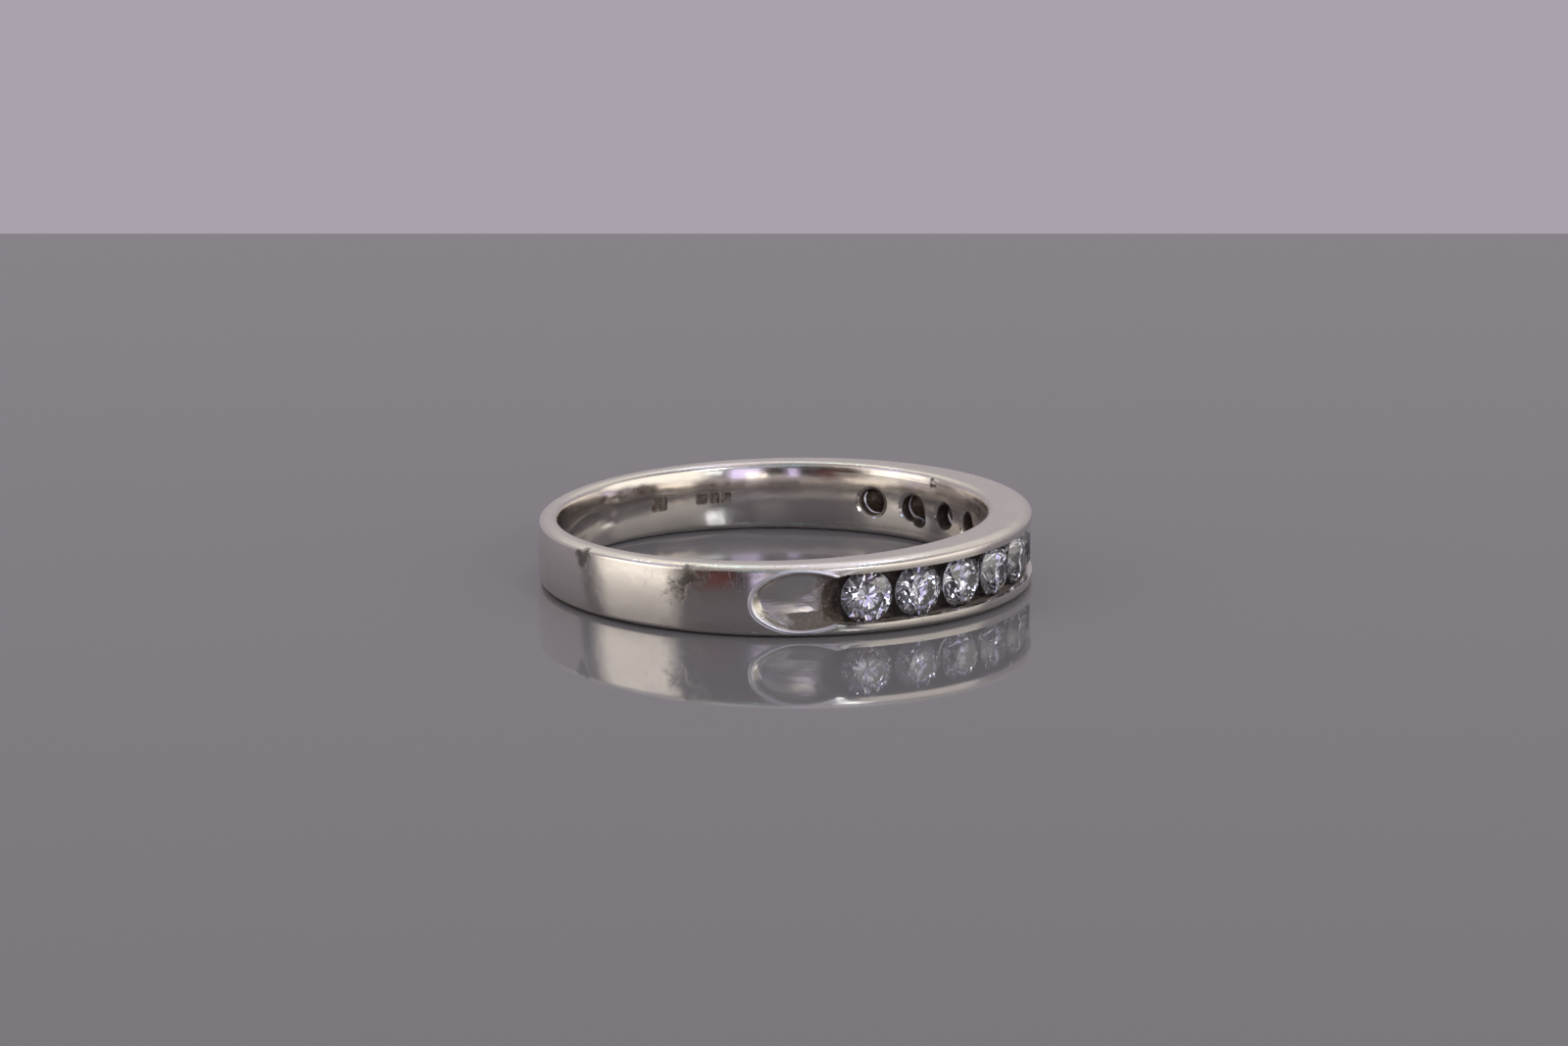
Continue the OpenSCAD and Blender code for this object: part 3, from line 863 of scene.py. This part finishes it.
    rough = plus(gold["roughness"], times(use, gold["wornRoughness"] - gold["roughness"]))
    for value, name in ((minus(brush, 0.5), "brushRoughness"), (marks, "markRoughness"),
                        (edge("flatSide", aside, halfWidth), "flatRoughness")):
        rough = plus(rough, times(value, gold[name]))
    for share, name in ((floorMask, "floorRoughness"), (times(floorMask, paintedHighlight), "paintedHighlightRoughness"),
                        (rim, "rimRoughness"), (grimeAndShade, "grimeAndShadeRoughness")):
        rough = mixValue(share, rough, gold[name])
    tree.links.new(rough, shader["Roughness"])

    ripple = noise(stretched(place, (0.6, 1.9, 1.9)), 1.0, 1.5)
    cuts = noise(stretched(place, (0.9, 6.0, 6.0)), 1.0, 2.0)
    height = times(brush, times(kept, gold["brushDepth"]))
    for value, name in ((big, "scratchDepth"), (fine, "fineDepth"), (rubbedAndShaded, "dentDepth")):
        height = minus(height, times(value, gold[name]))
    for value, amount in (
            (wave, gold["waveDepth"]), (ripple, times(floorMask, gold["rippleDepth"])),
            (cuts, times(floorMask, gold["cutDepth"])), (glintFlakes, gold["glintFlakeDepth"]),
            (grain, plus(times(relief, gold["grimeDepth"]), times(rim, gold["grainDepth"])))):
        height = plus(height, times(value, amount))
    tree.links.new(bumpFrom(height), shader["Normal"])
    return material


# The diamonds' glass, with a ground girdle and a faint film on the crown

diamond = {"colour": (0.80, 0.795, 0.92, 1), "index": 2.417, "film": 0.05, "girdleRoughness": 0.35,
           "girdleEdge": 0.004}


def diamondMaterial():
    material, tree, shader = newMaterial("diamond")
    shader["IOR"].default_value = diamond["index"]
    shader["Transmission Weight"].default_value = 1
    shader["Base Color"].default_value = diamond["colour"]
    ring = useGroup(tree, ringPlace)
    pitch = radians(stones["pitch"])
    # each stone's own height over its girdle, from the angle to its middle
    turnedIn = minus(ring["Angle"], times(calc("ROUND", over(ring["Angle"], pitch)), pitch))
    height = minus(times(ring["Radius"], calc("COSINE", turnedIn)), girdleR)
    girdle = ramp(absolute(height), girdleHalf + diamond["girdleEdge"], girdleHalf)
    film = patchMask(ring["Place"], 0.5, 0.45, 0.75)
    rough = plus(times(film, diamond["film"]), times(girdle, diamond["girdleRoughness"]))
    tree.links.new(rough, shader["Roughness"])
    return material


# Dried grime gathers under each stone and shows in the holes: a thin crust that follows the stone's cone

crust = {"reach": 0.5, "gap": 0.035, "gapGrowth": 0.045, "thick": 0.03, "lumps": 0.008, "rings": 10,
         "sides": 40, "lumpSize": 9.0, "colour": (0.085, 0.055, 0.042, 1), "pale": (0.2, 0.155, 0.125, 1),
         "roughness": 0.5, "grainSize": 22.0, "grainDepth": 0.03}


def crustShell():
    # One crust: a closed dish that fills its hole and keeps clear of the stone's cone; the stone's axis is Z
    slope = tan(radians(stones["pavilionSlope"]))
    point = girdleHalf + stoneR * slope
    rings, sides = crust["rings"], crust["sides"]

    def wallPoint(r, t, thick):
        x, y = r * cos(t) + holes["drop"], r * sin(t)
        fromAxis = sqrt(x * x + y * y)
        sink = crust["gap"] + crust["gapGrowth"] * fromAxis + thick
        return (x, y, -point + fromAxis * slope - sink / cos(radians(stones["pavilionSlope"])))

    points, faces = [], []
    for thick in (0, crust["thick"]):
        start = len(points)
        for k in range(1, rings + 1):
            r = crust["reach"] * k / rings
            points += [wallPoint(r, 2 * pi * i / sides, thick) for i in range(sides)]
        points.append(wallPoint(0, 0, thick))
        faces += fanFaces(start, sides, len(points) - 1)
        faces += [tuple(start + i for i in face) for face in ringFaces(rings, sides)]
    upper, lower = (rings - 1) * sides, (2 * rings - 1) * sides + 1
    for i in range(sides):
        j = (i + 1) % sides
        faces.append((upper + i, upper + j, lower + j, lower + i))
    return meshObject("crustShell", points, faces)


def crustTree(material):
    tree, given, result = newTree("stoneCrusts", {
        "Shell": None, "Count": stones["count"], "Pitch": radians(stones["pitch"]), "Girdle radius": girdleR,
        "Lumps": crust["lumps"], "Lump size": crust["lumpSize"], "Seed": 3.0}, {"Geometry": "Geometry"},
        "GeometryNodeTree")
    angle = stoneAngles(given["Count"], given["Pitch"])
    shell = geo(tree, "ObjectInfo", {"Object": given["Shell"]}, "Geometry")
    crusts = placeCopies(given["Count"], polar(given["Girdle radius"], angle, 0.0), shell, angle)
    lumps = shade(tree, "TexNoise", {
        "Vector": geo(tree, "InputPosition"), "W": given["Seed"], "Scale": given["Lump size"],
        "Detail": 2.0}, noise_dimensions="4D")
    raised = shade(tree, "VectorMath", {
        0: geo(tree, "InputNormal"), "Scale": times(lumps, given["Lumps"])}, operation="SCALE")
    lumpy = geo(tree, "SetPosition", {"Geometry": crusts, "Offset": raised})
    smooth = geo(tree, "SetShadeSmooth", {"Geometry": lumpy, "Shade Smooth": True})
    tree.links.new(layDown(smooth, material), result[0])
    return tree


def crustMaterial():
    material, tree, shader = newMaterial("driedGrime")
    shader["Roughness"].default_value = crust["roughness"]
    place = useGroup(tree, ringPlace)["Place"]
    glintFlakes = patchMask(place, 0.12, 0.5, 0.62)
    tree.links.new(mixColour(glintFlakes, crust["colour"], crust["pale"]), shader["Base Color"])
    grain = noise(place, crust["grainSize"], 3.0)
    tree.links.new(bumpFrom(times(grain, crust["grainDepth"])), shader["Normal"])
    return material


whiteGold, diamondGlass, driedGrime = whiteGoldMaterial(), diamondMaterial(), crustMaterial()
print("materials built")

cutters = {"Near pocket": pocketCutter(-1), "Far pocket": pocketCutter(1), "Stamps": stampCutters(),
           "Second drill": secondDrill()}
cutters.update(("Nick %d" % i, nick) for i, nick in enumerate(nickCutters()))
shapes = {"Band profile": profileObject("bandProfile", bandProfile()),
          "Channel profile": profileObject("channelProfile", channelProfile()), **cutters}
bandPiece = runTree("ringBand", bandTree(list(cutters), whiteGold), shapes)
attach(bandPiece, "root")
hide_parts("band")
print("band:", len(bandPiece.data.polygons), "faces")

shapes["Shell"] = crustShell()
crustPiece = runTree("driedGrime", crustTree(driedGrime), {"Shell": shapes["Shell"]})
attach(crustPiece, "root")
print("grime crusts:", len(crustPiece.data.polygons), "faces")

for shape in shapes.values():
    bpy.data.objects.remove(shape)
for name, node in nodes.items():
    node.material_slots[0].material = diamondGlass if name.startswith("stone") else whiteGold
print("materials placed")


# The stage: a glossy grey floor that ends behind the ring, in a studio with soft lights

stage = {"floorWidth": 1600, "floorFront": 1200, "floorBack": 77.5, "floorColour": (0.217, 0.208, 0.224, 1),
         "floorRoughness": 0.04}

sideEdge = stage["floorWidth"] / 2 * mm
frontEdge, backEdge = stage["floorFront"] * mm, stage["floorBack"] * mm
farward = Vector((-sin(turn), cos(turn), 0))
floorMesh = bpy.data.meshes.new("floor")
floorMesh.from_pydata([farward * far + rightward * side for far, side in (
    (-frontEdge, -sideEdge), (-frontEdge, sideEdge), (backEdge, sideEdge), (backEdge, -sideEdge))],
    [], [(0, 1, 2, 3)])
floor = addObject("floor", floorMesh)
glossyFloor, _, floorShader = newMaterial("glossyFloor")
floorShader["Base Color"].default_value = stage["floorColour"]
floorShader["Roughness"].default_value = stage["floorRoughness"]
floorMesh.materials.append(glossyFloor)

# The room, in light values
room = {"front": (0.05, 0.046, 0.047, 1), "back": (0.40, 0.36, 0.412, 1),
        "backHigh": (0.41, 0.378, 0.414, 1), "above": (0.30, 0.28, 0.29, 1)}
# Lamps, in degrees: azimuth from the front to the right, elevation, half width, half height and softness,
# then brightness and colour
softLights = {
    "horizonGlow": (24, 0, 34, 3, 2.5, 0.5, (1.0, 0.93, 0.85)),
    "leftBox": (-71, 17, 21, 17, 6, 1.85, (1.0, 0.94, 0.87)),
    "rightBox": (72, 16, 33, 17, 6, 1.3, (1.0, 0.95, 0.88)),
    "whiteLamp": (37, 29, 5, 5.5, 2, 13, (0.93, 0.96, 1.0)),
    "lowLamp": (35, 8, 5, 2.5, 1.5, 1.6, (0.93, 0.97, 1.0)),
    "topBack": (180, 54, 60, 28, 6, 0.75, (1.0, 0.96, 0.9)),
    "darkGap": (-101, 10, 4, 16, 3, 0.09, (1.0, 0.95, 0.9)),
    "warmCard": (-30, 3, 9, 6, 4, 0.1, (1.0, 0.28, 0.25)),
    "frontCard": (4, 27, 9, 10, 4, 0.4, (1.0, 0.95, 0.9)),
    "lilacRight": (18, 7, 8, 7, 2.5, 1.5, (0.76, 0.67, 1.0)),
    "creamCard": (12, 3, 4.5, 2.2, 1, 2.6, (1.0, 0.94, 0.84)),
    "lilacLeft": (-8.5, 6, 3, 5, 1.5, 1.2, (0.76, 0.67, 1.0)),
}


def softLightGroup():
    # How much of a soft-edged box of light lies in a direction, all in radians
    tree, given, result = newTree("softLight", {
        "Azimuth": 0.0, "Elevation": 0.0, "Turn": 0.0, "Lift": 0.0, "Wide": 0.3, "High": 0.2, "Soft": 0.1},
        {"Mask": "Float"})
    aside = absolute(calc("WRAP", minus(given["Azimuth"], given["Turn"]), pi, -pi))
    above = absolute(minus(given["Elevation"], given["Lift"]))
    masks = [ramp(value, plus(reach, given["Soft"]), minus(reach, given["Soft"]))
             for value, reach in ((aside, given["Wide"]), (above, given["High"]))]
    tree.links.new(times(*masks), result["Mask"])
    return tree


world = bpy.data.worlds.new("studio")
scene.world = world
world.use_nodes = True
sky = world.node_tree
dx, dy, dz = split(shade(sky, "TexCoord", output="Generated"))
backColour = mixColour(ramp(dz, -0.02, 0.12), room["back"], room["backHigh"])
skyColour = mixColour(ramp(dy, -0.35, 0.2), room["front"], backColour)
skyColour = mixColour(ramp(dz, 0.35, 0.95), skyColour, room["above"])
softLight = softLightGroup()
azimuth, elevation = calc("ARCTAN2", dx, times(dy, -1.0)), calc("ARCSINE", dz)
for *angles, brightness, tint in softLights.values():
    lampTurn, lampLift, wide, high, soft = (radians(a) for a in angles)
    mask = useGroup(sky, softLight, {
        "Azimuth": azimuth, "Elevation": elevation, "Turn": lampTurn, "Lift": lampLift, "Wide": wide,
        "High": high, "Soft": soft})["Mask"]
    skyColour = mixColour(mask, skyColour, tuple(c * brightness for c in tint) + (1,))
sky.links.new(skyColour, sky.nodes["Background"].inputs[0])
scene.view_settings.view_transform = "Standard"

# Small lamps all round make the stones sparkle; azimuth and elevation step round by the golden angle
sparks = {"count": 18, "distance": 300, "size": 13, "watts": 0.01, "low": 36, "high": 80, "turn": 137.5,
          "first": 20, "colours": [(0.86, 0.84, 1.0), (0.35, 0.50, 1.0), (1.0, 0.97, 0.92),
                                   (0.60, 0.38, 1.0), (1.0, 0.78, 0.5), (0.3, 0.9, 1.0)]}
for i in range(sparks["count"]):
    around = radians(sparks["first"] + sparks["turn"] * i)
    above = radians(sparks["low"] + (sparks["high"] - sparks["low"]) * (i * 0.618 % 1))
    light = bpy.data.lights.new("spark%d" % i, "AREA")
    light.shape = "DISK"
    light.size = sparks["size"] * mm
    light.energy = sparks["watts"]
    light.color = sparks["colours"][i % len(sparks["colours"])]
    holder = addObject("spark%d" % i, light)
    outwards = Vector((sin(around) * cos(above), -cos(around) * cos(above), sin(above)))
    holder.location = sparks["distance"] * mm * outwards
    holder.rotation_euler = (-holder.location).to_track_quat("-Z", "Y").to_euler()
print("stage and lights placed")
